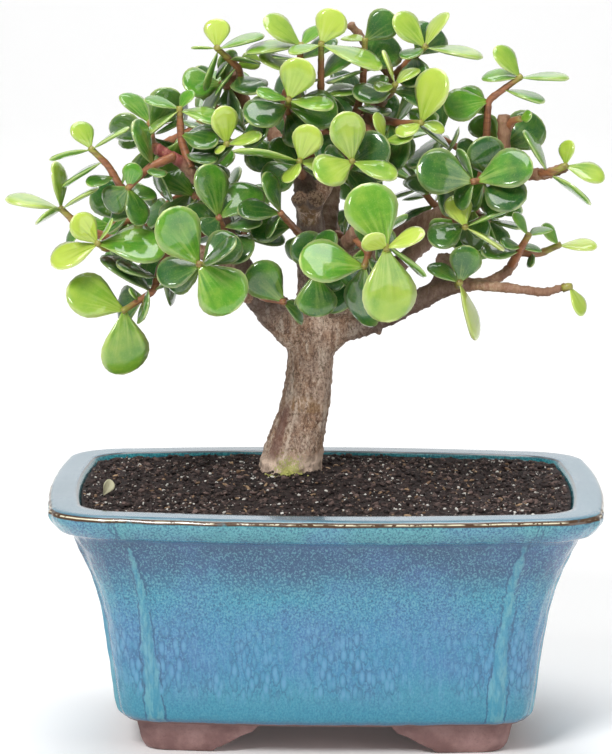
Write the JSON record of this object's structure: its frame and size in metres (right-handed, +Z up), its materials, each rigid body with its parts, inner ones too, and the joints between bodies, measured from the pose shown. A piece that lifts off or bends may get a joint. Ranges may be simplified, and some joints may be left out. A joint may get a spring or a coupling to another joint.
{
  "type": "dwarf jade bonsai",
  "caption": "Small succulent bonsai tree with a stout trunk and round fleshy leaves, in a flared rectangular glazed pot on bracket feet.",
  "frame": {"origin": "centre of the bounding box at its base, on the floor under the feet", "axes": "+Z up along the tree, +X to the right along the pot's long side as seen from the front, -Y towards the front"},
  "size_m": [0.1622, 0.1212, 0.2011],
  "materials": {
    "glaze": "glossy mottled blue glaze, bare brown clay feet",
    "peat": "coarse dark potting mix",
    "bark": "thin grey-brown bark, smooth with fine specks",
    "foliage": "waxy glossy green leaf, red-brown stem"
  },
  "bodies": {
    "root": {"pot": "glaze", "soil": "peat", "trunk": "bark", "spray_01": "foliage", "spray_02": "foliage", "spray_03": "foliage", "spray_04": "foliage", "spray_05": "foliage", "spray_06": "foliage", "spray_07": "foliage", "spray_08": "foliage", "spray_09": "foliage", "spray_10": "foliage", "spray_11": "foliage", "spray_12": "foliage", "spray_13": "foliage", "spray_14": "foliage", "spray_15": "foliage", "spray_16": "foliage", "spray_17": "foliage", "spray_18": "foliage", "spray_19": "foliage", "spray_20": "foliage", "spray_21": "foliage", "spray_22": "foliage", "spray_23": "foliage", "spray_24": "foliage", "spray_25": "foliage", "spray_26": "foliage", "spray_27": "foliage", "spray_28": "foliage", "spray_29": "foliage", "spray_30": "foliage", "spray_31": "foliage", "spray_32": "foliage", "spray_33": "foliage", "spray_34": "foliage", "spray_35": "foliage", "spray_36": "foliage", "spray_37": "foliage", "spray_38": "foliage", "spray_39": "foliage", "spray_40": "foliage", "spray_41": "foliage", "spray_42": "foliage", "spray_43": "foliage", "spray_44": "foliage", "spray_45": "foliage", "spray_46": "foliage", "spray_47": "foliage", "spray_48": "foliage", "spray_49": "foliage", "spray_50": "foliage", "spray_51": "foliage", "spray_52": "foliage", "spray_53": "foliage", "spray_54": "foliage", "spray_55": "foliage", "spray_56": "foliage"}
  },
  "joints": []
}
